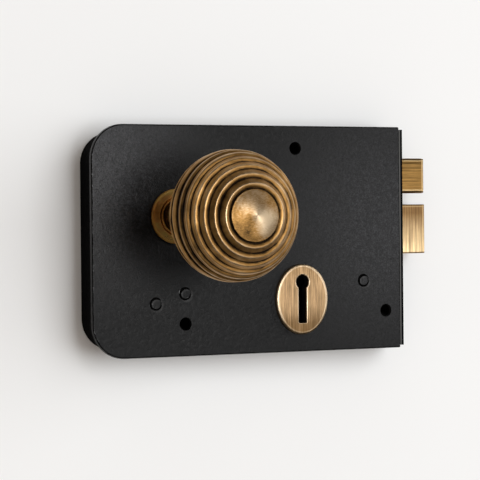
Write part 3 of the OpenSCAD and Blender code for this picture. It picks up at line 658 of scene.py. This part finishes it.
def powder_coat(name, base, shine, seed=0.0, rounded=False, front_highlight_span=None, with_painted_sheen=False):
    """Black satin powder coat with a fine orange-peel skin, glossier where it cured hotter."""
    material, tree, surface = new_finish(name)
    where = place(tree)
    shifted = shifted_place(tree, (seed, seed, seed))
    peel = grain(tree, shifted, 620.0, 2.0, 0.6)
    fine = grain(tree, shifted, 2100.0, 1.0)
    patch = grain(tree, shifted, 28.0, 3.0, 0.6)
    tone = mixed(tree, spread(tree, patch, 0.3, 0.7), shaded(base, 0.72), shaded(base, 1.35))
    speck = mixed(tree, spread(tree, fine, 0.35, 0.7), even(0.45), even(1.7))
    rough = plus(tree, spread(tree, peel, 0.3, 0.7, 0.51, 0.69), spread(tree, patch, 0.3, 0.7, -0.015, 0.02))
    if with_painted_sheen:
        # Painted sheen: paler patches near one corner and near the forend, kept out of the knob's shadow
        tone, rough = painted_sheen(tree, where, base, tone, rough)
        for post in POSTS:
            # Painted highlight: a paler ring round each post, moved right and down; painted shade: a
            # near-black ring moved left and up, partly a dark joint line, with its peel and grain smoothed
            # and its roughness lowered
            tone = mixed(tree, times(tree, ringed(tree, where, post, 0.35 * MM), 0.45), tone, even(0.055))
            groove = ringed(tree, where, post, -0.30 * MM)
            tone = mixed(tree, groove, tone, even(0.0005))
            rough = mixed_value(tree, groove, rough, 0.14)
            peel = mixed_value(tree, groove, peel, 0.5)
            fine = mixed_value(tree, groove, fine, 0.5)
    tone = mixed(tree, 1.0, tone, speck, "MULTIPLY")
    dimple = mixed(tree, spread(tree, peel, 0.35, 0.65), even(0.62), even(1.42))
    tone = mixed(tree, 1.0, tone, dimple, "MULTIPLY")
    if rounded:
        # Painted shade: the rounded edges, where the coat turns from the room to the side, go near black,
        # with a low roughness
        facing = front_facing(tree)
        edge = times(tree, spread(tree, facing, 0.93, 0.985, 1.0, 0.0), spread(tree, facing, 0.05, 0.2))
        tone = mixed(tree, edge, tone, even(0.001))
        rough = mixed_value(tree, edge, rough, 0.16)
    if front_highlight_span is not None:
        # Painted highlight: a pale strip on the forend's front face along the seam with the cover plate
        before = spread(tree, along_axis(tree, where, "X"), *front_highlight_span, 1.0, 0.0)
        worn = times(tree, spread(tree, front_facing(tree), 0.93, 0.98), before)
        tone = mixed(tree, worn, tone, (0.10, 0.10, 0.098))
    rough = plus(tree, rough, spread(tree, fine, 0.3, 0.7, -0.06, 0.06))
    feed(tree, surface, Base_Color=tone, Roughness=rough)
    surface.inputs["Specular IOR Level"].default_value = shine
    bumped(tree, surface, [(peel, 1.0, 0.00030), (fine, 1.0, 0.00014)])
    return material


def aged_brass(name, colours, extra_wear=0.0, shade_left_rear=False, tint=(1.0, 1.0, 1.0), metal=1.0, rubbed=()):
    """Brass darkened in its grooves and rubbed bright on its crests, with painted shade on one side and
    painted light and shade at given spots.
    """
    material, tree, surface = new_finish(name)
    where = place(tree)
    rub = add(tree, "ShaderNodeAttribute", attribute_name="rub").outputs["Fac"]
    marks = grain(tree, turned_place(tree, 2600.0, 5.0), 1.0, 3.0, 0.6)
    long_marks = grain(tree, turned_place(tree, 900.0, 2.0), 1.0, 2.0, 0.5)
    blotch = grain(tree, where, 130.0, 4.0, 0.6)
    worn = plus(tree, rub, spread(tree, blotch, 0.3, 0.7, -0.12, 0.12))
    worn = plus(tree, worn, spread(tree, marks, 0.3, 0.7, -0.10 + extra_wear, 0.10 + extra_wear))
    # Painted highlights and painted shade at the given spots
    worn = paint_light_and_shade_at(tree, worn, where, COVER_FACE, rubbed)
    if shade_left_rear:
        # Painted shade: darker on the knob's rear left side, which faces away from the lamps
        rear = spread(tree, along_axis(tree, where, "Y"), KNOB_LOW.y + 9.25 * MM, KNOB_LOW.y + 15.75 * MM)
        side = spread(tree, along_axis(tree, where, "X"), -22 * MM, -11 * MM, 1.0, 0.0)
        worn = plus(tree, worn, times(tree, times(tree, rear, side), -0.24))
    half_rubbed = [0.6 * b + 0.4 * g for b, g in zip(colours.brass_brown, colours.brass_gold)]
    body = brass_ramp(tree, worn, (
        (0.02, colours.brass_dark),
        (0.36, colours.brass_brown),
        (0.66, half_rubbed),
        (1.0, colours.brass_gold),
    ))
    low_streak = tinted((0.80, 0.78, 0.76), tint)
    high_streak = tinted((1.18, 1.16, 1.12), tint)
    streak = mixed(tree, spread(tree, long_marks, 0.3, 0.7), low_streak, high_streak)
    rough = plus(tree, spread(tree, worn, 0.0, 1.0, 0.62, 0.30), spread(tree, marks, 0.3, 0.7, -0.04, 0.06))
    feed(tree, surface, Base_Color=mixed(tree, 1.0, body, streak, "MULTIPLY"), Roughness=rough)
    surface.inputs["Metallic"].default_value = metal
    bumped(tree, surface, [(marks, 0.22, 0.00003), (blotch, 0.15, 0.00008)])
    return material


def spun_brass(name, colours):
    """Button of the knob: brass brushed while it spins, so light fans out from its middle."""
    material, tree, surface = new_finish(name)
    where = place(tree)
    rub = add(tree, "ShaderNodeAttribute", attribute_name="rub").outputs["Fac"]
    strokes = grain(tree, place(tree, (900.0, 500.0, 3200.0)), 1.0, 3.0, 0.6)
    marks = grain(tree, turned_place(tree, 3000.0, 4.0), 1.0, 3.0, 0.6)
    blotch = grain(tree, where, 210.0, 4.0, 0.65)
    worn = plus(tree, rub, spread(tree, blotch, 0.3, 0.7, -0.16, 0.12))
    worn = plus(tree, worn, spread(tree, strokes, 0.3, 0.7, -0.30, -0.06))
    # Painted highlight lobes and painted shade at given spots on the button
    worn = paint_light_and_shade_at(tree, worn, where, KNOB_LOW.y, BUTTON_LIGHT_AND_SHADE)
    body = brass_ramp(tree, worn, (
        (0.05, colours.brass_dark), (0.42, colours.brass_brown), (0.95, colours.brass_gold),
    ))
    spin = add(tree, "ShaderNodeTangent", direction_type="RADIAL", axis="Y").outputs["Tangent"]
    feed(tree, surface, Base_Color=body, Tangent=spin, Roughness=spread(tree, marks, 0.3, 0.7, 0.48, 0.58))
    surface.inputs["Metallic"].default_value = 1.0
    surface.inputs["Anisotropic"].default_value = 0.62
    surface.inputs["Anisotropic Rotation"].default_value = 0.375
    bumped(tree, surface, [(marks, 0.12, 0.00003), (strokes, 0.10, 0.00003)])
    return material


def brushed_brass(name, base, brush, colours, edge_light_and_dark=False, tone=None, ends=None, light_and_shade_lines=()):
    """Flat brass brushed one way, so its shine spreads across the strokes.

    Tone is (low, high, tint at low, tint at high) up the piece; ends is (low, high, reach, stain) for
    its stained foot and top; each painted line, of painted highlight or painted shade, is (axis, where, half
    its width, strength, colour).
    """
    material, tree, surface = new_finish(name)
    where = place(tree)
    height = along_axis(tree, where, "Z")
    lines = grain(tree, place(tree, brush), 1.0, 3.0, 0.65)
    wide = grain(tree, place(tree, [b * 0.28 for b in brush]), 1.0, 3.0, 0.6)
    blotch = grain(tree, where, 160.0, 4.0, 0.6)
    body = mixed(tree, spread(tree, wide, 0.36, 0.60), shaded(base, 0.42), shaded(base, 1.22))
    body = mixed(tree, spread(tree, blotch, 0.35, 0.75, 0.0, 0.45), body, shaded(base, 0.5))
    streak = mixed(tree, spread(tree, lines, 0.3, 0.7), (0.72, 0.69, 0.66), even(1.2))
    body = mixed(tree, 1.0, body, streak, "MULTIPLY")
    if edge_light_and_dark:
        # Painted highlight lines where the rub value is high; darker brass where it is low
        rub = add(tree, "ShaderNodeAttribute", attribute_name="rub").outputs["Fac"]
        body = mixed(tree, spread(tree, rub, 0.55, 0.95), body, colours.brass_gold)
        body = mixed(tree, spread(tree, rub, 0.0, 0.45, 1.0, 0.0), body, colours.brass_dark)
    if tone is not None:
        low, high, low_tint, high_tint = tone
        rising = mixed(tree, spread(tree, height, low, high), low_tint, high_tint)
        body = mixed(tree, 1.0, body, rising, "MULTIPLY")
    if ends is not None:
        low, high, reach, stain = ends
        at_foot = spread(tree, height, low, low + reach, 1.0, 0.0)
        at_top = spread(tree, height, high - reach, high)
        stained = times(tree, plus(tree, at_foot, at_top), spread(tree, wide, 0.30, 0.62, 1.0, 0.1))
        body = mixed(tree, stained, body, stain)
    for axis, middle, half, strength, shade in light_and_shade_lines:
        # Painted highlight and painted shade lines along the edges
        line = thin_line(tree, along_axis(tree, where, axis), middle, half)
        body = mixed(tree, times(tree, line, strength), body, shade)
    across = add(tree, "ShaderNodeTangent", direction_type="RADIAL", axis="Z").outputs["Tangent"]
    rough = plus(tree, spread(tree, wide, 0.3, 0.7, 0.46, 0.38), spread(tree, lines, 0.3, 0.7, -0.05, 0.05))
    feed(tree, surface, Base_Color=body, Tangent=across, Roughness=rough)
    surface.inputs["Metallic"].default_value = 1.0
    surface.inputs["Anisotropic"].default_value = 0.55
    bumped(tree, surface, [(lines, 0.25, 0.00003), (blotch, 0.12, 0.00006)])
    return material


def plain_metal(name, base, rough_low, rough_high, mark_stretch, seed):
    """Metal of the works inside: drawn, stamped or plated, with marks, stains and oil."""
    material, tree, surface = new_finish(name)
    where = shifted_place(tree, (seed, 0.0, seed))
    marks = grain(tree, place(tree, mark_stretch), 1.0, 3.0, 0.6)
    stain = grain(tree, where, 190.0, 4.0, 0.62)
    pits = grain(tree, where, 1500.0, 2.0, 0.5)
    tone = mixed(tree, spread(tree, stain, 0.32, 0.68), shaded(base, 0.62), shaded(base, 1.12))
    streak = mixed(tree, spread(tree, marks, 0.3, 0.7), even(0.84), even(1.1))
    rough = spread(tree, stain, 0.3, 0.7, rough_high, rough_low)
    rough = plus(tree, rough, spread(tree, marks, 0.3, 0.7, -0.04, 0.04))
    feed(tree, surface, Base_Color=mixed(tree, 1.0, tone, streak, "MULTIPLY"), Roughness=rough)
    surface.inputs["Metallic"].default_value = 1.0
    bumped(tree, surface, [(marks, 0.18, 0.00003), (pits, 0.12, 0.00003)])
    return material


def give_finish(node_names, material):
    """Puts one finish on every slot of the named CAD nodes."""
    for name in node_names:
        node = frame["nodes"][name]
        if not node.data.materials:
            node.data.materials.append(material)
        for slot in node.material_slots:
            slot.material = material


def crisp_edges(node_name):
    """Shades a CAD node's hard edges as hard edges."""
    split = frame["nodes"][node_name].modifiers.new("crisp_edges", "EDGE_SPLIT")
    split.split_angle = math.radians(30.0)


def soft_edges(node_name, width):
    """Rounds a CAD node's hard edges a little."""
    bevel = frame["nodes"][node_name].modifiers.new("soft_edges", "BEVEL")
    bevel.width = width
    bevel.segments = 3
    bevel.limit_method = "ANGLE"
    bevel.angle_limit = math.radians(50.0)
    bevel.harden_normals = False


# ---------- operators ----------


class RIMLOCK_OT_knob(Operator):
    """Turns the reeded knob with its button and puts it on the spindle"""

    bl_idname = "rimlock.knob"
    bl_label = "Beehive Knob"

    def execute(self, context):
        sizes = context.scene.rimlock_knob
        colours = context.scene.rimlock_finishes
        profile = knob_profile(sizes)
        widest = max(point[0] for point in profile)
        if widest > KNOB_HIGH.x + 0.1 * MM:
            raise RuntimeError(f"the knob's radius is {widest:.4f} m, but its solid's is {KNOB_HIGH.x:.4f} m")
        knob = turned("beehive_knob", profile, sizes.steps_round, sharp_angle=60.0)
        knob.data.materials.append(aged_brass("knob_aged_brass", colours, shade_left_rear=True))
        knob.data.materials.append(spun_brass("button_spun_brass", colours))
        button_back = profile[DOME_STEPS + ROUNDING_STEPS][1]
        for face in knob.data.polygons:
            radius = math.hypot(face.center.x, face.center.z)
            ahead = COVER_FACE - face.center.y
            if radius < sizes.button_radius and ahead > button_back:
                face.material_index = 1
        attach(knob, "knob")
        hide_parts("knob")
        give_finish(["knob_neck"], plain_metal(
            "neck_aged_brass", shaded(colours.brass_brown, 0.5), 0.40, 0.55, (300.0, 2600.0, 300.0), 0.03,
        ))
        return {"FINISHED"}


class RIMLOCK_OT_rose(Operator):
    """Turns the rose that the knob's neck runs in"""

    bl_idname = "rimlock.rose"
    bl_label = "Rose"

    def execute(self, context):
        profile = rose_profile(context.scene.rimlock_plates)
        steps = context.scene.rimlock_knob.steps_round
        rose = turned("rose_collar", profile, steps, closed=True, sharp_angle=45.0)
        # The rose gets painted highlights at its top and bottom and painted shade at its left
        rose.data.materials.append(aged_brass(
            "rose_aged_brass", context.scene.rimlock_finishes, extra_wear=0.35,
            tint=(1.70, 1.14, 0.52), metal=0.92, rubbed=ROSE_LIGHT_AND_SHADE,
        ))
        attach(rose, "case")
        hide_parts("rose")
        return {"FINISHED"}


class RIMLOCK_OT_escutcheon(Operator):
    """Cuts the oval escutcheon with its chamfered keyhole"""

    bl_idname = "rimlock.escutcheon"
    bl_label = "Escutcheon"

    def execute(self, context):
        colours = context.scene.rimlock_finishes
        foot = ESCUTCHEON_LOW.z
        plate = escutcheon_mesh(context.scene.rimlock_plates)
        plate.data.materials.append(brushed_brass(
            "escutcheon_brushed_brass", colours.plate_brass, (9500.0, 9500.0, 260.0), colours, edge_light_and_dark=True,
            tone=(foot + 5.3 * MM, foot + 12.8 * MM, (0.50, 0.48, 0.46), (1.0, 1.01, 1.04)),
            ends=(foot, ESCUTCHEON_HIGH.z, 9 * MM, shaded(colours.brass_brown, 0.42)),
        ))
        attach(plate, "case")
        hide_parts("escutcheon")
        return {"FINISHED"}


class RIMLOCK_OT_case(Operator):
    """Coats the case, its forend and its riveted posts in black powder"""

    bl_idname = "rimlock.case"
    bl_label = "Case Finish"

    def execute(self, context):
        powder = context.scene.rimlock_finishes.powder
        plate = powder_coat("plate_powder_coat", powder, 0.29, rounded=True, with_painted_sheen=True)
        band = powder_coat("band_powder_coat", shaded(powder, 0.7), 0.012, seed=0.4)
        back = powder_coat("back_powder_coat", shaded(powder, 5.0), 0.30, seed=0.6)
        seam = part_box("cover_plate")[1].x
        # Span along the forend where its painted highlight strip fades out
        front_highlight_span = (seam + 0.55 * MM, seam + 0.70 * MM)
        forend = powder_coat(
            "forend_powder_coat", powder, 0.02, seed=0.9, rounded=True, front_highlight_span=front_highlight_span,
        )
        give_finish(["cover_plate", *POSTS], plate)
        give_finish(["case_band"], band)
        give_finish(["back_plate"], back)
        give_finish(["forend"], forend)
        for name in POSTS:
            crisp_edges(name)
        soft_edges("forend", 0.35 * MM)
        return {"FINISHED"}


class RIMLOCK_OT_bolts(Operator):
    """Brushes the latch bolt and the dead bolt"""

    bl_idname = "rimlock.bolts"
    bl_label = "Bolt Finish"

    def execute(self, context):
        colours = context.scene.rimlock_finishes
        pale = shaded(colours.bolt_brass, 0.62)
        shiny = shaded(colours.bolt_brass, 0.85)
        brown = colours.brass_brown
        low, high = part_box("latch_bolt")
        aged = tinted(colours.bolt_brass, (0.37, 0.30, 0.19))
        give_finish(["latch_bolt"], brushed_brass(
            "latch_bolt_brass", aged, (140.0, 2600.0, 6200.0), colours,
            tone=(low.z + 10 * MM, high.z - 0.9 * MM, even(1.0), even(0.5)),
            # Painted highlight lines along the right, top and bottom chamfers; painted shade: a brown line
            # along the bottom edge
            light_and_shade_lines=[
                ("X", high.x - 1.1 * MM, 0.50 * MM, 0.60, shiny),
                ("Z", high.z - 1.0 * MM, 0.50 * MM, 0.70, shiny),
                ("Z", low.z + 1.3 * MM, 0.50 * MM, 0.70, shiny),
                ("Z", low.z + 0.3 * MM, 0.50 * MM, 0.60, brown),
            ],
        ))
        low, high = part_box("dead_bolt")
        give_finish(["dead_bolt"], brushed_brass(
            "dead_bolt_brass", colours.bolt_brass, (5600.0, 2600.0, 110.0), colours,
            # Painted highlight: paler and bluer toward the bottom of the face, darker brown toward the top
            tone=(low.z, low.z + 18.4 * MM, (1.24, 1.25, 1.42), (0.325, 0.255, 0.215)),
            # Painted highlight lines along the right and top edges; painted shade: a brown line along the
            # bottom edge
            light_and_shade_lines=[
                ("X", high.x - 0.9 * MM, 0.35 * MM, 0.50, shiny),
                ("Z", high.z - 0.9 * MM, 0.35 * MM, 0.50, pale),
                ("Z", low.z + 0.3 * MM, 0.45 * MM, 0.60, brown),
            ],
        ))
        return {"FINISHED"}


class RIMLOCK_OT_works(Operator):
    """Gives the works inside the case their steels and brasses"""

    bl_idname = "rimlock.works"
    bl_label = "Inner Works Finish"

    def execute(self, context):
        colours = context.scene.rimlock_finishes
        slots = {subpart["node"]: subpart["material_slot"] for subpart in frame["record"]["subparts"]}
        brass, black = colours.lever_brass, colours.blackened
        plated, wire = colours.zinc, shaded(colours.zinc, 1.15)
        rolled = (500.0, 1800.0, 1800.0)
        finish = {
            "lever_brass": plain_metal("stamped_lever_brass", brass, 0.28, 0.45, (500.0, 2200.0, 900.0), 0.1),
            "bright_steel": plain_metal("zinc_plated_steel", plated, 0.30, 0.48, rolled, 0.2),
            "spring_steel": plain_metal("drawn_spring_wire", wire, 0.22, 0.36, even(1500.0), 0.3),
            "dark_steel": plain_metal("blackened_steel", black, 0.40, 0.60, even(900.0), 0.4),
        }
        for name in sorted(frame["nodes"]):
            if slots.get(name) in finish:
                give_finish([name], finish[slots[name]])
        # Near-black sleeves: partly oiled black steel, partly painted shade for the inside of the fixing
        # holes
        give_finish(["fixing_sleeves"], plain_metal(
            "sleeve_black_and_shade", shaded(black, 0.12), 0.75, 0.9, even(700.0), 0.5,
        ))
        return {"FINISHED"}


def aim(thing, target):
    """Points a lamp or camera at a place."""
    thing.rotation_euler = (Vector(target) - thing.location).to_track_quat("-Z", "Y").to_euler()


def soft_lamp(name, place_at, target, size, power):
    """A square soft box that the camera doesn't see."""
    data = bpy.data.lights.new(name, "AREA")
    data.shape = "SQUARE"
    data.size = size
    data.energy = power
    lamp = bpy.data.objects.new(name, data)
    bpy.context.scene.collection.objects.link(lamp)
    lamp.location = place_at
    aim(lamp, target)
    lamp.visible_camera = False
    return lamp


def wall_finish(base):
    """Matt wall paint that can't be seen from behind, so the lock's back stays in view."""
    material, tree, surface = new_finish("wall_paint")
    patch = grain(tree, place(tree), 6.0, 2.0)
    tone = mixed(tree, spread(tree, patch, 0.3, 0.7), shaded(base, 0.99), shaded(base, 1.01))
    feed(tree, surface, Base_Color=tone)
    surface.inputs["Roughness"].default_value = 0.95
    surface.inputs["Specular IOR Level"].default_value = 0.1
    paint = surface.outputs["BSDF"]
    clear = add(tree, "ShaderNodeBsdfTransparent").outputs["BSDF"]
    behind = add(tree, "ShaderNodeNewGeometry").outputs["Backfacing"]
    chosen = add(tree, "ShaderNodeMixShader", {0: behind, 1: paint, 2: clear})
    output = next(node for node in tree.nodes if node.type == "OUTPUT_MATERIAL")
    tree.links.new(chosen.outputs["Shader"], output.inputs["Surface"])
    return material


def wall_mesh(base):
    """The wall, with an opening just inside the outline of the case's back."""
    low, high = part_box("case_band")
    inset = 4 * MM
    cut_corner = 16 * MM
    reach = 3.0
    behind_door_face = 0.6 * MM
    inner = [
        (low.x + cut_corner, low.z + inset), (high.x - inset, low.z + inset),
        (high.x - inset, high.z - inset), (low.x + cut_corner, high.z - inset),
        (low.x + inset, high.z - cut_corner), (low.x + inset, low.z + cut_corner),
    ]
    outer = [(-reach, -reach), (reach, -reach), (reach, reach), (-reach, reach)]
    bm = bmesh.new()
    edges = []
    for outline in (outer, inner):
        verts = [bm.verts.new((x, behind_door_face, z)) for x, z in outline]
        edges += [bm.edges.new((verts[k - 1], verts[k])) for k in range(len(verts))]
    bmesh.ops.triangle_fill(bm, use_beauty=False, edges=edges)
    for face in bm.faces:
        if face.normal.y > 0:
            face.normal_flip()
    mesh = bpy.data.meshes.new("wall")
    bm.to_mesh(mesh)
    bm.free()
    mesh.materials.append(wall_finish(base))
    wall = bpy.data.objects.new("wall", mesh)
    bpy.context.scene.collection.objects.link(wall)
    return wall


def hang_lamps(stage):
    """Key and side lamps for the brass, a broad lamp for the wall's soft shadow, and one behind the wall."""
    centre = (0.04, -0.02, -0.01)
    key_lamp = soft_lamp("key_lamp", (0.02, -1.40, 0.02), centre, 0.42, stage.key_power)
    side_lamp = soft_lamp("side_lamp", (2.32, -1.08, 0.66), centre, 1.6, stage.side_power)
    wall_lamp = soft_lamp("wall_lamp", (1.75, -3.10, 0.74), centre, 3.6, stage.wall_power)
    soft_lamp("rear_lamp", (0.6, 1.6, 0.5), centre, 1.0, stage.rear_power)
    key_lamp.visible_diffuse = False
    side_lamp.visible_diffuse = False
    wall_lamp.visible_glossy = False
    wall_lamp.data.color = (0.93, 0.97, 1.0)


def light_room(scene, stage):
    """The room's light: one level on matt paint, one in reflections, and a pale tone in view."""
    world = bpy.data.worlds.new("room")
    scene.world = world
    world.use_nodes = True
    tree = world.node_tree
    tree.nodes.clear()
    path = add(tree, "ShaderNodeLightPath")
    strength = mixed_value(tree, path.outputs["Is Glossy Ray"], stage.world_level, stage.gloss_level)
    room = add(tree, "ShaderNodeBackground", {"Color": (1.0, 0.90, 0.81, 1.0), "Strength": strength})
    seen = add(tree, "ShaderNodeBackground", {"Color": (0.88, 0.88, 0.88, 1.0), "Strength": 1.0})
    chosen = add(tree, "ShaderNodeMixShader", {
        0: path.outputs["Is Camera Ray"], 1: room.outputs["Background"], 2: seen.outputs["Background"],
    })
    add(tree, "ShaderNodeOutputWorld", {"Surface": chosen.outputs["Shader"]})


def set_camera(scene, stage):
    """A long lens a little to the left of the lock, turned and rolled to face it."""
    data = bpy.data.cameras.new("camera")
    data.sensor_width = 36.0
    data.lens = stage.lens
    data.clip_start = 0.01
    data.clip_end = 20.0
    camera = bpy.data.objects.new("camera", data)
    scene.collection.objects.link(camera)
    azimuth, elevation, roll = stage.azimuth, stage.elevation, stage.roll
    forward = Vector((
        math.sin(azimuth) * math.cos(elevation), math.cos(azimuth) * math.cos(elevation), math.sin(elevation),
    ))
    level_right = Vector((math.cos(azimuth), -math.sin(azimuth), 0.0))
    level_up = level_right.cross(forward)
    right = level_right * math.cos(roll) + level_up * math.sin(roll)
    up = right.cross(forward)
    camera.matrix_world = Matrix((right, up, -forward)).transposed().to_4x4()
    camera.location = CAMERA_PLACE
    scene.camera = camera


class RIMLOCK_OT_stage(Operator):
    """Sets up the wall, the lamps, the room light and the camera"""

    bl_idname = "rimlock.stage"
    bl_label = "Wall, Lamps and Camera"

    def execute(self, context):
        scene = context.scene
        wall_mesh(scene.rimlock_finishes.wall)
        hang_lamps(scene.rimlock_stage)
        light_room(scene, scene.rimlock_stage)
        set_camera(scene, scene.rimlock_stage)
        scene.view_settings.view_transform = "Standard"
        return {"FINISHED"}


class RIMLOCK_PT_sidebar(Panel):
    """Lists the pieces of the rim lock"""

    bl_idname = "RIMLOCK_PT_sidebar"
    bl_label = "Rim Lock"
    bl_space_type = "VIEW_3D"
    bl_region_type = "UI"
    bl_category = "Rim Lock"

    def draw(self, context):
        layout = self.layout
        for operator in OPERATORS:
            layout.operator(operator.bl_idname)
        for group, _ in GROUPS:
            settings = getattr(context.scene, group)
            box = layout.box()
            box.label(text=group.replace("rimlock_", "").title())
            for name in settings.__annotations__:
                box.prop(settings, name)


OPERATORS = (
    RIMLOCK_OT_knob,
    RIMLOCK_OT_rose,
    RIMLOCK_OT_escutcheon,
    RIMLOCK_OT_case,
    RIMLOCK_OT_bolts,
    RIMLOCK_OT_works,
    RIMLOCK_OT_stage,
)
GROUPS = (
    ("rimlock_knob", KnobSizes),
    ("rimlock_plates", PlateSizes),
    ("rimlock_finishes", Finishes),
    ("rimlock_stage", StageSizes),
)


def register():
    """Registers the settings, the operators and the panel."""
    for name, group in GROUPS:
        bpy.utils.register_class(group)
        setattr(bpy.types.Scene, name, PointerProperty(type=group))
    for operator in OPERATORS:
        bpy.utils.register_class(operator)
    bpy.utils.register_class(RIMLOCK_PT_sidebar)


def unregister():
    """Takes everything that register added away again."""
    bpy.utils.unregister_class(RIMLOCK_PT_sidebar)
    for operator in reversed(OPERATORS):
        bpy.utils.unregister_class(operator)
    for name, group in reversed(GROUPS):
        delattr(bpy.types.Scene, name)
        bpy.utils.unregister_class(group)


def main():
    register()
    bpy.ops.rimlock.knob()
    bpy.ops.rimlock.rose()
    bpy.ops.rimlock.escutcheon()
    bpy.ops.rimlock.case()
    bpy.ops.rimlock.bolts()
    bpy.ops.rimlock.works()
    bpy.ops.rimlock.stage()
    bpy.context.view_layer.update()


if __name__ == "__main__":
    main()
